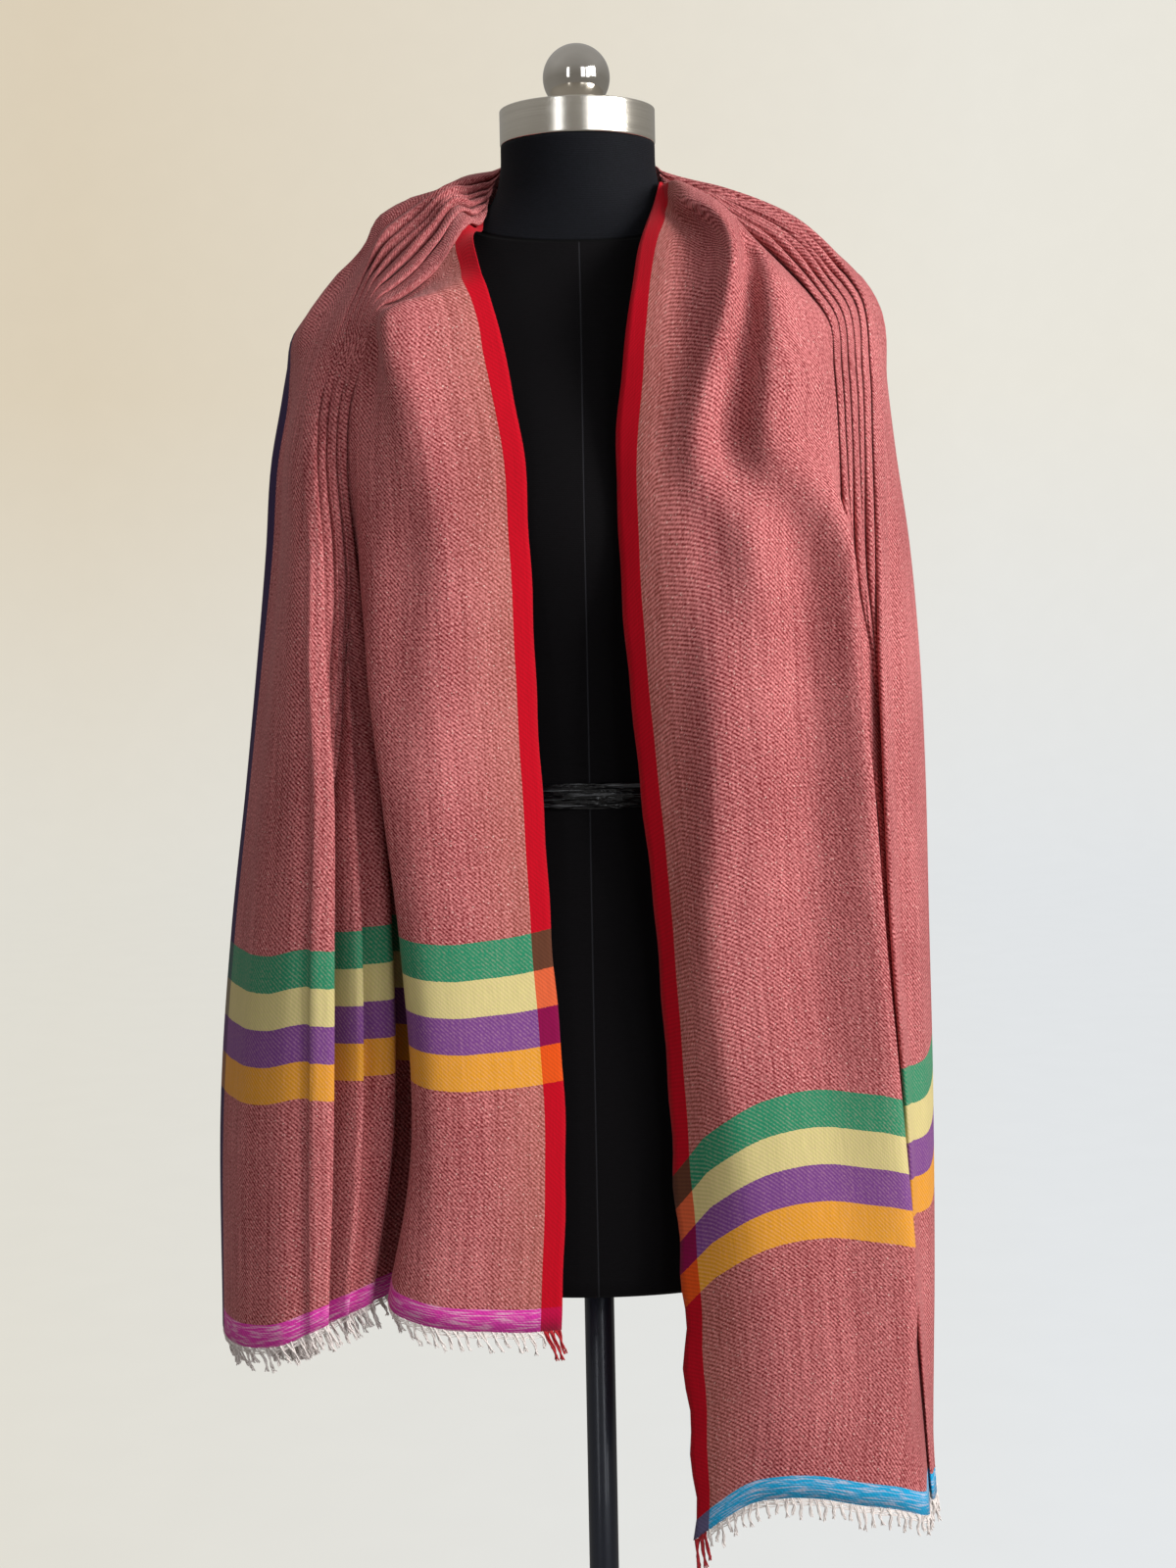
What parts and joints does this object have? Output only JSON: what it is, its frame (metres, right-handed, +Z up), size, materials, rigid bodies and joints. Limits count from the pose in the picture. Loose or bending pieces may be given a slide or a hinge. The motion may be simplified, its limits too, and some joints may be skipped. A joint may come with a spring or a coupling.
{
  "type": "pashmina shawl on a dress form",
  "caption": "Long twill pashmina with banded, fringed ends, pleated round the neck and hung over the shoulders of a black limbless dress form on a pole stand.",
  "frame": {"origin": "middle of the base's underside, on the floor", "axes": "+Z up along the pole, -Y towards the form's front, +X towards the wearer's left"},
  "size_m": [0.547, 0.4, 1.5438],
  "materials": {
    "rose_twill": "matte wool twill with woven bands",
    "fringe_thread": "matte loose thread",
    "black_jersey": "matte ribbed stretch cloth",
    "clear_tape": "glossy clear tape over black",
    "neck_cap": "brushed",
    "cap_ball": "polished",
    "pole_collar": "glossy",
    "pole_paint": "satin",
    "base_paint": "satin"
  },
  "bodies": {
    "root": {"shawl_right_fall": "rose_twill", "shawl_back": "rose_twill", "shawl_left_fall": "rose_twill", "fringe_right": "fringe_thread", "fringe_left": "fringe_thread", "form_torso": "black_jersey", "form_waist_band": "clear_tape", "form_neck_cap": "neck_cap", "form_cap_ball": "cap_ball", "form_collar": "pole_collar", "form_pole": "pole_paint", "form_base": "base_paint"}
  },
  "joints": []
}
